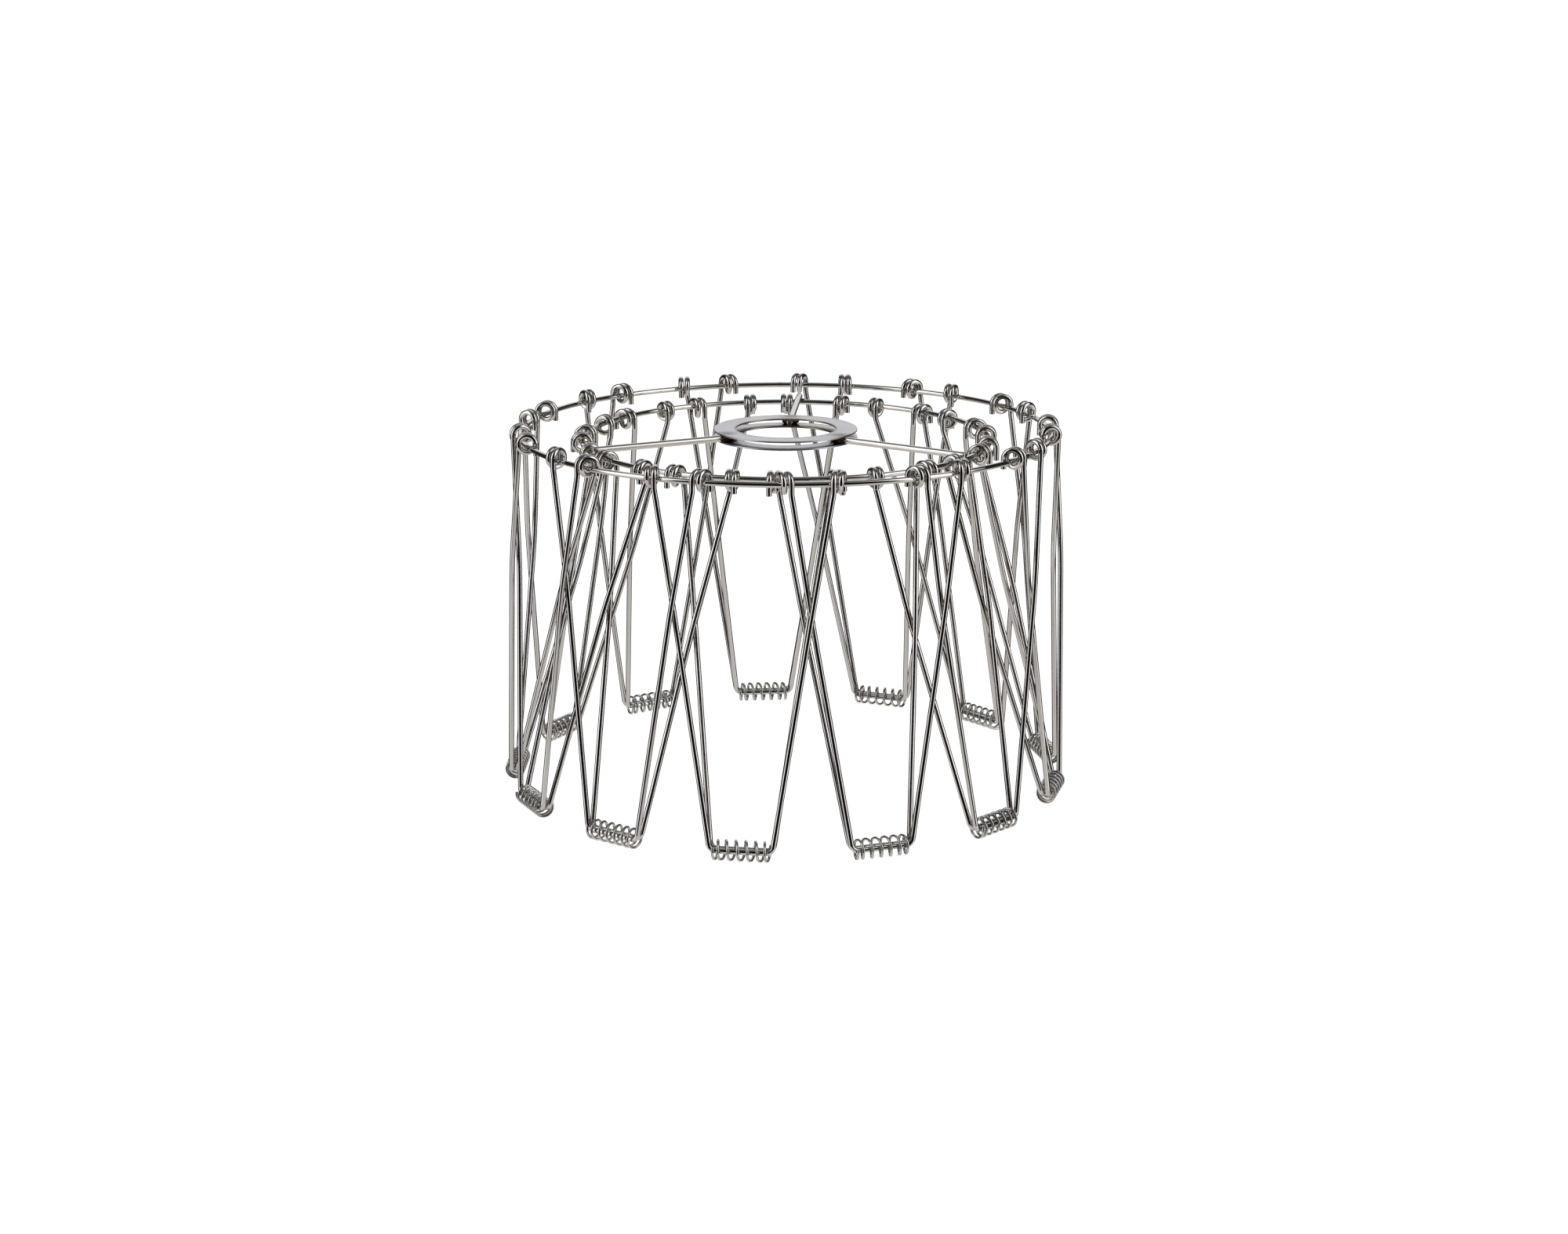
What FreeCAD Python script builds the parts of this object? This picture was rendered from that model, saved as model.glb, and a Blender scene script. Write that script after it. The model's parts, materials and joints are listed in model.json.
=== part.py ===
import FreeCAD, Part

import math
import os

import Sketcher
from FreeCAD import Placement, Rotation, Vector

# Jointed wire lampshade.
#
# A welded frame (two fitter plates, three spokes and a ring) carries a curtain of bent wire loops.
# At every station an inner loop is hooked on the inner ring, an outer loop is hooked on the outer
# ring, and a small coil spring wraps the bottom bars of the two.  Each loop swings on its own ring.
#
# Millimetres and degrees.  +Z is up.  The origin is the centre of the fitter's hole, halfway
# between its two plates.  Station 0 faces -Y, and stations count towards +X.
#
# A loop is drawn for station 0 with X along its bottom bar, -Y outwards and Z up, then turned
# about Z to its own station.

SIZES = [
    ("stations", 13, "loops of each kind round the shade"),
    ("plate_outer", 60.0, "outer diameter of a fitter plate"),
    ("plate_bore", 42.0, "hole for the lampholder"),
    ("plate_thickness", 0.7, "sheet of a fitter plate"),
    ("spoke_wire", 2.8, "diameter of a spoke"),
    ("spoke_start", 22.5, "radius where a spoke's inner end stands"),
    ("spoke_overhang", 2.5, "spoke beyond the middle of the inner ring"),
    ("spoke_station", 11, "station that the first spoke points at"),
    ("weld_sink", 0.15, "how far welded pieces sink into each other"),
    ("ring_wire", 2.3, "diameter of the wire of both rings"),
    ("inner_ring_radius", 85.0, "to the middle of the wire"),
    ("outer_ring_radius", 110.5, "to the middle of the wire"),
    ("outer_ring_rise", 0.85, "outer ring above the middle of the fitter"),
    ("loop_wire", 2.3, "diameter of the wire of a loop"),
    ("inner_hook_angle", 22.15, "from a loop's middle to its hook, round the inner ring"),
    ("outer_hook_angle", 19.3, "from a loop's middle to its hook, round the outer ring"),
    ("hook_radius", 3.45, "mean radius of a hook's coil"),
    ("hook_pitch", 2.9, "advance of a hook in one turn"),
    ("hook_tail", 5.2, "cut end of the wire below the middle of its hook"),
    ("hook_play", 0.3, "gap between a ring and the side of the hook that bears on it"),
    ("inner_hook_turn", 14.0, "turn of an inner hook towards the line of its ring"),
    ("outer_hook_turn", 10.0, "turn of an outer hook towards the line of its ring"),
    ("leg_straight", 4.0, "straight leg below the middle of its hook"),
    ("kink_radius", 6.0, "bend where a leg leaves its hook"),
    ("crossing_gap", 0.85, "gap where the legs of two neighbours cross"),
    ("crossing_bend_radius", 300.0, "gentle bend of a leg at the crossing"),
    ("bar_half_width", 12.5, "middle of a bottom bar to the line of its leg"),
    ("corner_radius", 3.0, "bend from leg to bottom bar"),
    ("bar_gap", 0.3, "gap between the two bottom bars inside a spring"),
    ("spring_circle_radius", 115.6, "shade's axis to the middle of a spring"),
    ("spring_drop", 145.0, "middle of the fitter down to the middle of a spring"),
    ("spring_wire", 1.1, "diameter of a spring's wire"),
    ("spring_radius", 3.7, "mean radius of a spring"),
    ("spring_pitch", 3.9, "advance of a turn in the open middle of a spring"),
    ("spring_end_pitch", 2.2, "advance of a turn at the ends of a spring"),
    ("spring_open_turns", 4.5, "open turns in the middle of a spring"),
    ("spring_end_turns", 1, "close turns at each end of a spring"),
    ("spring_tail", 2.0, "straight cut end of a spring, standing up"),
]

SPOKES = 3

document = FreeCAD.newDocument("WireLampshade")
sheet = document.addObject("Spreadsheet::Sheet", "Sizes")


def fill_sheet():
    """Write each size into the sheet: its name, its value under an alias, and what it is."""
    for row, (name, value, note) in enumerate(SIZES, start=1):
        sheet.set("A%d" % row, name)
        sheet.set("B%d" % row, str(value))
        sheet.setAlias("B%d" % row, name)
        sheet.set("C%d" % row, note)
    document.recompute()


def size(name):
    """The sheet's value of one size."""
    return float(sheet.get(name))


# ------------------------------------------------------------------ lines, bends and half turns


def unit(vector):
    """A copy of a vector, one millimetre long."""
    return Vector(vector).normalize()


def line(start, end):
    """A straight edge."""
    return Part.LineSegment(start, end).toShape()


def arc(start, middle, end):
    """A round edge through three points."""
    return Part.Arc(start, middle, end).toShape()


def bend(before, corner, after, radius):
    """The tangent arc that rounds a corner: its start, its middle and its end."""
    back = unit(before - corner)
    ahead = unit(after - corner)
    half_angle = back.getAngle(ahead) / 2
    reach = radius / math.tan(half_angle)
    bisector = unit(back + ahead)
    centre = corner + bisector * (radius / math.sin(half_angle))
    return corner + back * reach, centre - bisector * radius, corner + ahead * reach


def bent_wire(points, radii):
    """Edges of a straight-sided path whose inner corners are rounded with the given radii."""
    edges = []
    here = points[0]
    for i, radius in enumerate(radii, start=1):
        start, middle, end = bend(points[i - 1], points[i], points[i + 1], radius)
        edges.append(line(here, start))
        edges.append(arc(start, middle, end))
        here = end
    edges.append(line(here, points[-1]))
    return edges


def half_turn(start, end, up):
    """Half a turn of a coil, from start to end over the top (up is 1) or underneath (up is -1)."""
    middle = (start + end) * 0.5
    radius = (end - start).Length / 2
    return arc(start, middle + Vector(0, 0, up * radius), end)


# ------------------------------------------------------------------------------ wire loops


def bar_offset():
    """Middle of a spring to the middle of either bottom bar inside it."""
    return (size("loop_wire") + size("bar_gap")) / 2


def hook_sag():
    """Height between the middle of a hook and the middle of the ring that it bears on."""
    bore = size("hook_radius") - size("loop_wire") / 2
    return bore - size("ring_wire") / 2 - size("hook_play")


def inner_ring_height():
    """The inner ring is welded under the spokes."""
    return -(size("spoke_wire") + size("ring_wire")) / 2 + size("weld_sink")


def loop_layout(kind):
    """Where one kind of loop hangs and which way its legs face, as a dictionary of named values."""
    if kind == "inner":
        ring_radius = size("inner_ring_radius")
        hook_angle = math.radians(size("inner_hook_angle"))
        return {
            "half_chord": ring_radius * math.sin(hook_angle),
            "chord_radius": ring_radius * math.cos(hook_angle),
            "hook_height": inner_ring_height() - hook_sag(),
            "turn": math.radians(size("inner_hook_turn")),
            "leg_side": -1,
            "bar_radius": size("spring_circle_radius") - bar_offset(),
        }
    ring_radius = size("outer_ring_radius")
    hook_angle = math.radians(size("outer_hook_angle"))
    return {
        "half_chord": ring_radius * math.sin(hook_angle),
        "chord_radius": ring_radius * math.cos(hook_angle),
        "hook_height": size("outer_ring_rise") + hook_sag(),
        "turn": math.radians(size("outer_hook_turn")),
        "leg_side": 1,
        "bar_radius": size("spring_circle_radius") + bar_offset(),
    }


def hook_point(layout, side, along, outward, up):
    """A point of a hook: along its own axis away from the loop, towards its leg, and up."""
    turn = layout["turn"]
    x = along * math.cos(turn) + layout["leg_side"] * outward * math.sin(turn)
    r = layout["leg_side"] * outward * math.cos(turn) - along * math.sin(turn)
    return Vector(
        side * (layout["half_chord"] + x),
        -(layout["chord_radius"] + r),
        layout["hook_height"] + up,
    )


def hook_edges(layout, side):
    """The cut tail and the turn and a half of one hook, ending where its leg starts."""
    radius = size("hook_radius")
    pitch = size("hook_pitch")
    tail_end = hook_point(layout, side, 0.75 * pitch, -radius, -size("hook_tail"))
    tail_top = hook_point(layout, side, 0.75 * pitch, -radius, 0)
    first_over = hook_point(layout, side, 0.25 * pitch, radius, 0)
    under = hook_point(layout, side, -0.25 * pitch, -radius, 0)
    second_over = hook_point(layout, side, -0.75 * pitch, radius, 0)
    return [
        line(tail_end, tail_top),
        half_turn(tail_top, first_over, 1),
        half_turn(first_over, under, -1),
        half_turn(under, second_over, 1),
    ]


def crossing_point(layout, side, top, corner):
    """Where a leg crosses its neighbour's, moved outwards on one side and inwards on the other."""
    slope = math.tan(math.pi / size("stations"))
    over_top = abs(top.x) + top.y * slope
    over_corner = abs(corner.x) + corner.y * slope
    share = over_top / (over_top - over_corner)
    point = top + (corner - top) * share
    lean = math.atan2(abs(corner.y - top.y), abs(corner.z - top.z))
    straight_apart = math.cos(math.pi / size("stations")) * math.cos(lean)
    offset = (size("loop_wire") + size("crossing_gap")) / 2 / straight_apart
    return point + Vector(0, -side * offset, 0)


def leg_points(layout, side):
    """The corners of one leg's line, from its hook down to its bottom bar."""
    pitch = size("hook_pitch")
    radius = size("hook_radius")
    top = hook_point(layout, side, -0.75 * pitch, radius, 0)
    kink = top - Vector(0, 0, size("leg_straight"))
    corner = Vector(side * size("bar_half_width"), -layout["bar_radius"], -size("spring_drop"))
    return [top, kink, crossing_point(layout, side, kink, corner), corner]


def loop_wire(kind):
    """The whole line of a loop: hook, leg, bottom bar, leg and hook."""
    layout = loop_layout(kind)
    left = leg_points(layout, -1)
    right = leg_points(layout, 1)
    radii = [size("kink_radius"), size("crossing_bend_radius"), size("corner_radius")]
    edges = hook_edges(layout, -1)
    edges += bent_wire(left + right[::-1], radii + radii[::-1])
    edges += hook_edges(layout, 1)[::-1]
    return Part.Wire(edges)


def tail_end(kind):
    """Where a loop's line starts, at the cut end of its first hook."""
    layout = loop_layout(kind)
    radius = size("hook_radius")
    return hook_point(layout, -1, 0.75 * size("hook_pitch"), -radius, -size("hook_tail"))


# --------------------------------------------------------------------------------- springs


def spring_steps():
    """How far the wire moves along the spring in each half turn."""
    ends = [size("spring_end_pitch") / 2] * int(2 * size("spring_end_turns"))
    middle = [size("spring_pitch") / 2] * int(2 * size("spring_open_turns"))
    return ends + middle + ends


def spring_wire():
    """The line of a spring round the two bottom bars, with a straight end standing up at each end."""
    steps = spring_steps()
    along = -sum(steps) / 2
    outward = size("spring_radius")
    up = -1
    here = spring_point(along, outward)
    edges = [line(spring_start(), here)]
    for step in steps:
        along += step
        outward = -outward
        there = spring_point(along, outward)
        edges.append(half_turn(here, there, up))
        here = there
        up = -up
    edges.append(line(here, here + Vector(0, 0, up * size("spring_tail"))))
    return Part.Wire(edges)


def spring_start():
    """The cut end of a spring's wire, above the first of its turns."""
    first = spring_point(-sum(spring_steps()) / 2, size("spring_radius"))
    return first + Vector(0, 0, size("spring_tail"))


def spring_point(along, outward):
    """A point level with the middle of a spring, along its axis and out from it."""
    radius = size("spring_circle_radius") + outward
    return Vector(along, -radius, -size("spring_drop"))


# ------------------------------------------------------------------------- document objects


def add_line_object(name, wire):
    """Keep a wire in the document as the line that sweeps follow."""
    line_object = document.addObject("Part::Feature", name)
    line_object.Shape = wire
    return line_object


def add_section(name, alias, start):
    """The round section of a wire, level, at the point where its line starts straight up or down."""
    section = document.addObject("Part::Circle", name)
    section.Placement = Placement(start, Rotation())
    section.setExpression("Radius", "Sizes.%s / 2" % alias)
    return section


def add_station_sweeps(label, line_object, section):
    """One swept wire for every station, turned about the shade's axis by its share of a turn."""
    pieces = []
    for station in range(int(size("stations"))):
        piece = document.addObject("Part::Sweep", "%s_%02d" % (label, station + 1))
        piece.Label = "%s_%02d" % (label, station + 1)
        piece.Sections = [section]
        piece.Spine = (line_object, [])
        piece.Solid = True
        piece.Frenet = False
        piece.Placement = Placement(Vector(), Rotation(Vector(0, 0, 1), 360 * station / size("stations")))
        piece.setExpression("Placement.Rotation.Angle", "360 deg * %d / Sizes.stations" % station)
        pieces.append(piece)
    return pieces


def add_loops(kind):
    """The thirteen loops of one kind."""
    line_object = add_line_object("%s_loop_line" % kind, loop_wire(kind))
    section = add_section("%s_loop_section" % kind, "loop_wire", tail_end(kind))
    return add_station_sweeps("%s_loop" % kind, line_object, section)


def add_springs():
    """The thirteen springs that join the loops in pairs."""
    line_object = add_line_object("spring_line", spring_wire())
    section = add_section("spring_section", "spring_wire", spring_start())
    return add_station_sweeps("coil_spring", line_object, section)


def add_ring(label, radius_alias, height):
    """A closed ring of wire."""
    ring = document.addObject("Part::Torus", label)
    ring.Label = label
    ring.setExpression("Radius1", "Sizes.%s" % radius_alias)
    ring.setExpression("Radius2", "Sizes.ring_wire / 2")
    ring.setExpression("Placement.Base.z", height)
    return ring


def add_spoke(index):
    """A straight level rod from between the fitter plates out over the inner ring."""
    spoke = document.addObject("Part::Cylinder", "spoke_%d" % (index + 1))
    spoke.Label = "spoke_%d" % (index + 1)
    azimuth = 360 * (size("spoke_station") / size("stations") + index / SPOKES)
    outwards = Rotation(Vector(0, 0, 1), azimuth) * Rotation(Vector(1, 0, 0), 90)
    spoke.Placement = Placement(Vector(), outwards)
    turn = "360 deg * (Sizes.spoke_station / Sizes.stations + %d / %d)" % (index, SPOKES)
    spoke.setExpression("Placement.Base.x", "Sizes.spoke_start * sin(%s)" % turn)
    spoke.setExpression("Placement.Base.y", "-Sizes.spoke_start * cos(%s)" % turn)
    spoke.setExpression("Radius", "Sizes.spoke_wire / 2")
    length = "Sizes.inner_ring_radius + Sizes.spoke_overhang - Sizes.spoke_start"
    spoke.setExpression("Height", length)
    return spoke


def origin_plane(body, role):
    """One of a body's own origin planes."""
    return [feature for feature in body.Origin.OriginFeatures if feature.Role == role][0]


def add_plate(label, height):
    """A flat ring of sheet metal, padded upwards from a sketch of two circles."""
    body = document.addObject("PartDesign::Body", label)
    body.Label = label
    sketch = body.newObject("Sketcher::SketchObject", label + "_outline")
    sketch.AttachmentSupport = [(origin_plane(body, "XY_Plane"), "")]
    sketch.MapMode = "FlatFace"
    for index, alias in enumerate(("plate_outer", "plate_bore")):
        circle = Part.Circle(Vector(), Vector(0, 0, 1), size(alias) / 2)
        sketch.addGeometry(circle, False)
        sketch.addConstraint(Sketcher.Constraint("Coincident", index, 3, -1, 1))
        number = sketch.addConstraint(Sketcher.Constraint("Diameter", index, size(alias)))
        sketch.renameConstraint(number, alias)
        sketch.setExpression("Constraints.%s" % alias, "Sizes.%s" % alias)
    pad = body.newObject("PartDesign::Pad", label + "_pad")
    pad.Profile = sketch
    pad.setExpression("Length", "Sizes.plate_thickness")
    body.setExpression("Placement.Base.z", height)
    return body


def add_frame():
    """The welded frame: fitter plates, spokes and inner ring."""
    gap = "Sizes.spoke_wire / 2 - Sizes.weld_sink"
    inner_height = "-(Sizes.spoke_wire + Sizes.ring_wire) / 2 + Sizes.weld_sink"
    pieces = [
        add_plate("fitter_plate_top", gap),
        add_plate("fitter_plate_bottom", "-(%s) - Sizes.plate_thickness" % gap),
        add_ring("inner_ring", "inner_ring_radius", inner_height),
    ]
    return pieces + [add_spoke(index) for index in range(SPOKES)]


def check(pieces):
    """Stop if any object of the document failed, or a sub-part isn't one valid solid."""
    for thing in document.Objects:
        if "Invalid" in thing.State or "Error" in thing.State:
            raise RuntimeError("%s failed: %s" % (thing.Name, thing.State))
    for piece in pieces:
        shape = piece.Shape
        if shape.isNull() or not shape.isValid() or len(shape.Solids) != 1 or shape.Volume <= 0:
            raise RuntimeError("%s isn't one valid solid" % piece.Label)


def export(pieces):
    """Write every sub-part to a file of its own."""
    os.makedirs("parts", exist_ok=True)
    for piece in pieces:
        piece.Shape.exportStep("parts/%s.step" % piece.Label)
        print("%-22s volume %9.1f mm3" % (piece.Label, piece.Shape.Volume))


fill_sheet()
sub_parts = add_frame()
sub_parts.append(add_ring("outer_ring", "outer_ring_radius", "Sizes.outer_ring_rise"))
sub_parts += add_loops("inner")
sub_parts += add_loops("outer")
sub_parts += add_springs()
document.recompute()
check(sub_parts)
export(sub_parts)
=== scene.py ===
"""A jointed wire lampshade: the looks of its wires, springs and fitter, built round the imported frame.

Everything is in metres, in the frame's own axes: +Z up, the fitter's hole on the origin, the first
station facing -Y.  A loop, or a spring, is bent once for the first station and then turned to its own.
"""

import json
import logging
import math
import random
from dataclasses import dataclass, field
from enum import Enum
from typing import Sequence

import bmesh
import bpy
from mathutils import Matrix, Vector

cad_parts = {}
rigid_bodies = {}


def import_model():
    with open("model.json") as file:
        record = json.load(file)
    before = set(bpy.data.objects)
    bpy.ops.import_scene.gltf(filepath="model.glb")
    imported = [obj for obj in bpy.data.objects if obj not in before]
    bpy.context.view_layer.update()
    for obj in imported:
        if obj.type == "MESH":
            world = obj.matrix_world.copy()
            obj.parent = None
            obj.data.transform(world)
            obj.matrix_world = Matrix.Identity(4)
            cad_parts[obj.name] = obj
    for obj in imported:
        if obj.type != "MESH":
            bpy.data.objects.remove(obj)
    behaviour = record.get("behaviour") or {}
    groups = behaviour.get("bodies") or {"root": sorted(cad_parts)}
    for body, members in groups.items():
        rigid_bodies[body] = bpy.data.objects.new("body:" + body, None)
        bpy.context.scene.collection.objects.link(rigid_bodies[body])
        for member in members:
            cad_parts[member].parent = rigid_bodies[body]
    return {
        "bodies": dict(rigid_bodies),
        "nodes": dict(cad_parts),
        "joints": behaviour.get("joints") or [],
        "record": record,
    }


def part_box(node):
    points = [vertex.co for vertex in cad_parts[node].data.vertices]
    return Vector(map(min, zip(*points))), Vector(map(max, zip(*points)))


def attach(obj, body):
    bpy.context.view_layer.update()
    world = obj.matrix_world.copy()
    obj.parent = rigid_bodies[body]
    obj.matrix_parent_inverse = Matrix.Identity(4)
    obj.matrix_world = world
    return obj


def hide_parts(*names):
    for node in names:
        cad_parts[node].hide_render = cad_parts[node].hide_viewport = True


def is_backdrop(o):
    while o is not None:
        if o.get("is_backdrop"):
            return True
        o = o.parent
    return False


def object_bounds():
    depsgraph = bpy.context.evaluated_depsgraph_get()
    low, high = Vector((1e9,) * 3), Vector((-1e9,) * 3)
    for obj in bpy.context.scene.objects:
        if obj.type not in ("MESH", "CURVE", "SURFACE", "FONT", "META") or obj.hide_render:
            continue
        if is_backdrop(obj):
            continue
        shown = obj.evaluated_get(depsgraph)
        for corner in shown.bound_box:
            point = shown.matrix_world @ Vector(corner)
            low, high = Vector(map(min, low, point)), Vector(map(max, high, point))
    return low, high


log = logging.getLogger("lampshade")

Colour = tuple[float, float, float, float]
Material = bpy.types.Material
Mesh = bmesh.types.BMesh
Socket = bpy.types.NodeSocket

MM = 0.001
UP = Vector((0.0, 0.0, 1.0))
# A drawing line is this many times longer than it is wide.
DRAW = 40
# Edges that fold more than this stay crisp.
CRISP_DEG = 35.0
# Where the plates are painted darkest by the brazing, for its stain and for shade between the plates,
# out from the shade's axis.
BRAZE_STAIN_AND_SHADE_MM = 27.0
# What the metal reflects level with itself, once round from behind the camera by its left:
# black behind the camera, white panels beside it, dark cards further back.
SURROUND = (
    (0.0, "#080808"),
    (0.11, "#080808"),
    (0.13, "#dcdcdc"),
    (0.205, "#dcdcdc"),
    (0.218, "#1c1c1c"),
    (0.734, "#1c1c1c"),
    (0.747, "#dcdcdc"),
    (0.825, "#dcdcdc"),
    (0.845, "#080808"),
    (1.0, "#080808"),
)
# The white backdrop behind the shade, which begins level with it.
BACKDROP = ((0.36, "#000000"), (0.4, "#b4b4b6"), (0.552, "#b4b4b6"), (0.59, "#000000"))
# The backdrop fades in over this much of the height of a direction.
BACKDROP_FADE = 0.08
# What the metal reflects well below and well above itself: colour, and where it fades in and ends.
FLOOR_AND_CEILING = (("#a8a6a3", -0.46, -0.5), ("#505051", 0.72, 0.8))
SURROUND_STRENGTH = 2.0


class Side(Enum):
    """The end of a loop, counted along its bottom bar."""

    LEFT = -1
    RIGHT = 1


class Kind(Enum):
    """The ring that a loop hangs on."""

    INNER = "inner"
    OUTER = "outer"


# ---- colours and nodes


def linear(colour: str) -> Colour:
    """Turn an sRGB hex colour to linear light.

    Args:
        colour: Six hex digits after a hash, such as "#c8c8cc".

    Returns:
        Red, green, blue and an alpha of 1.
    """
    channels = [int(colour[i : i + 2], 16) / 255 for i in (1, 3, 5)]
    light = [c / 12.92 if c <= 0.04045 else ((c + 0.055) / 1.055) ** 2.4 for c in channels]
    return (light[0], light[1], light[2], 1.0)


def add_node(
    material: Material,
    kind: str,
    settings: dict[str, object] | None = None,
    values: dict[str | int, object] | None = None,
    links: dict[str | int, Socket] | None = None,
) -> bpy.types.Node:
    """Add one node with its settings, its constant inputs and what feeds it.

    Args:
        material: The material (or world) whose node tree it joins.
        kind: The node's type name.
        settings: Properties of the node.
        values: Constants, by input name or number.
        links: Output sockets, by the input that each feeds.

    Returns:
        The new node.
    """
    tree = material.node_tree
    node = tree.nodes.new(kind)
    for name, value in (settings or {}).items():
        setattr(node, name, value)
    for name, value in (values or {}).items():
        node.inputs[name].default_value = value
    for name, socket in (links or {}).items():
        tree.links.new(socket, node.inputs[name])
    return node


def set_ramp(node: bpy.types.Node, stops: Sequence[tuple[float, Colour]]) -> None:
    """Give a colour ramp its stops.

    Args:
        node: A colour ramp node.
        stops: Position and linear colour of each stop, in order.
    """
    elements = node.color_ramp.elements
    while len(elements) > 1:
        elements.remove(elements[-1])
    elements[0].position = stops[0][0]
    elements[0].color = stops[0][1]
    for position, colour in stops[1:]:
        elements.new(position).color = colour


# ---- finishes


def new_material(name: str) -> Material:
    """An empty node material of that name."""
    material = bpy.data.materials.new(name)
    material.use_nodes = True
    material.node_tree.nodes.clear()
    return material


class Surface:
    """A bare metal material, put together node by node.

    Attributes:
        material: The material.
        place: Where a point lies on its piece, in metres.
    """

    def __init__(self, name: str) -> None:
        """Start the material of that name."""
        self.material = new_material(name)
        self.place = add_node(self.material, "ShaderNodeTexCoord").outputs["Object"]

    def painted(self, name: str) -> bpy.types.Node:
        """The node that reads what was noted on the mesh under a name."""
        return add_node(self.material, "ShaderNodeAttribute", {"attribute_name": name})

    def noise(self, place: Socket, size_mm: float, detail: float) -> Socket:
        """A noise pattern whose lumps have a real size.

        Args:
            place: Where on the surface, in metres.
            size_mm: The size of one lump.
            detail: Octaves of finer lumps on top.

        Returns:
            The pattern, from 0 to 1.
        """
        values = {"Scale": 1.0 / (size_mm * MM), "Detail": detail}
        links = {"Vector": place}
        return add_node(self.material, "ShaderNodeTexNoise", None, values, links).outputs["Fac"]

    def spread(self, value: Socket, low: float, high: float) -> Socket:
        """Spread a value from 0 to 1 over another span, from low to high."""
        span = {"To Min": low, "To Max": high}
        links = {"Value": value}
        return add_node(self.material, "ShaderNodeMapRange", None, span, links).outputs[0]

    def raised(self, base: Socket, gain: float, value: Socket) -> Socket:
        """Raise a value by a multiple of another, and hold the sum from 0 to 1.

        Args:
            base: What is raised.
            gain: What the other is multiplied by.
            value: The other.

        Returns:
            The sum.
        """
        held = {"operation": "MULTIPLY_ADD", "use_clamp": True}
        links = {0: value, 2: base}
        return add_node(self.material, "ShaderNodeMath", held, {1: gain}, links).outputs[0]

    def near(self, distance: Socket, start: float, reach: float, peak: float) -> Socket:
        """How near a distance is to its start, falling smoothly to 0.

        Args:
            distance: The distance.
            start: Where the value is at its peak.
            reach: How much further on it is 0.
            peak: Its peak.

        Returns:
            The nearness.
        """
        smooth = {"interpolation_type": "SMOOTHSTEP"}
        span = {"From Min": start, "From Max": start + reach, "To Min": peak, "To Max": 0.0}
        links = {"Value": distance}
        return add_node(self.material, "ShaderNodeMapRange", smooth, span, links).outputs[0]

    def mixed(self, colours: dict[int, Colour], links: dict[int, Socket]) -> Socket:
        """Mix two colours, on input 6 and input 7, by the share on input 0."""
        kind = {"data_type": "RGBA"}
        return add_node(self.material, "ShaderNodeMix", kind, colours, links).outputs[2]

    def ramp(self, value: Socket, stops: Sequence[tuple[float, Colour]]) -> Socket:
        """Colour a value by a ramp's stops, in order."""
        node = add_node(self.material, "ShaderNodeValToRGB", None, None, {"Fac": value})
        set_ramp(node, stops)
        return node.outputs["Color"]

    def finish(
        self, colour: Socket, roughness: Socket, height: Socket, relief: tuple[float, float]
    ) -> Material:
        """End the material in bare metal.

        Args:
            colour: Its colour.
            roughness: Its roughness.
            height: Its relief, from 0 to 1.
            relief: How strongly the relief shows, and its depth in millimetres.

        Returns:
            The material, ready to assign.
        """
        depth = {"Strength": relief[0], "Distance": relief[1] * MM}
        bump = add_node(self.material, "ShaderNodeBump", None, depth, {"Height": height})
        links = {"Base Color": colour, "Roughness": roughness, "Normal": bump.outputs["Normal"]}
        metal = add_node(self.material, "ShaderNodeBsdfPrincipled", None, {"Metallic": 1.0}, links)
        end = {"Surface": metal.outputs[0]}
        add_node(self.material, "ShaderNodeOutputMaterial", None, None, end)
        return self.material


@dataclass(frozen=True)
class PlatedWire:
    """Steel wire, drawn and then nickel-chrome plated: a mirror with faint drawing lines along it.

    Where it was welded the plating is straw-coloured, then brown, and duller.

    Attributes:
        line_mm: Width of a drawing line; real ones are finer than could show.
        blotch_mm: Size of a blotch in the plating.
        ragged: How the blotches move the edge of the heat.
        heat_gain: How steeply the tint rises with heat.
        heat_dulling: Roughness that full heat adds.
        relief: How strongly the drawing lines show, and their depth in millimetres.
    """

    name: str
    tint: str = "#cac7c4"
    straw: str = "#c09a64"
    scorch: str = "#85592f"
    roughness: float = 0.05
    line_mm: float = 0.25
    blotch_mm: float = 9.0
    ragged: tuple[float, float] = (-0.5, 0.2)
    heat_gain: float = 2.2
    heat_dulling: float = 0.25
    relief: tuple[float, float] = (0.03, 0.01)

    def build(self) -> Material:
        """Make the material, ready to assign."""
        surface = Surface(self.name)
        drawn = surface.painted("drawn").outputs["Vector"]
        heat = surface.painted("heat").outputs["Fac"]
        lines = surface.noise(drawn, self.line_mm, 2.0)
        blotches = surface.noise(surface.place, self.blotch_mm, 3.0)
        tinting = surface.raised(surface.spread(blotches, *self.ragged), self.heat_gain, heat)
        bright = linear(self.tint)
        stops = [(0.0, bright), (0.12, bright), (0.4, linear(self.straw)), (1.0, linear(self.scorch))]
        colour = surface.ramp(tinting, stops)
        clean = surface.spread(blotches, self.roughness * 0.6, self.roughness * 1.5)
        dulled = surface.raised(clean, self.heat_dulling, heat)
        return surface.finish(colour, dulled, lines, self.relief)


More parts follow.
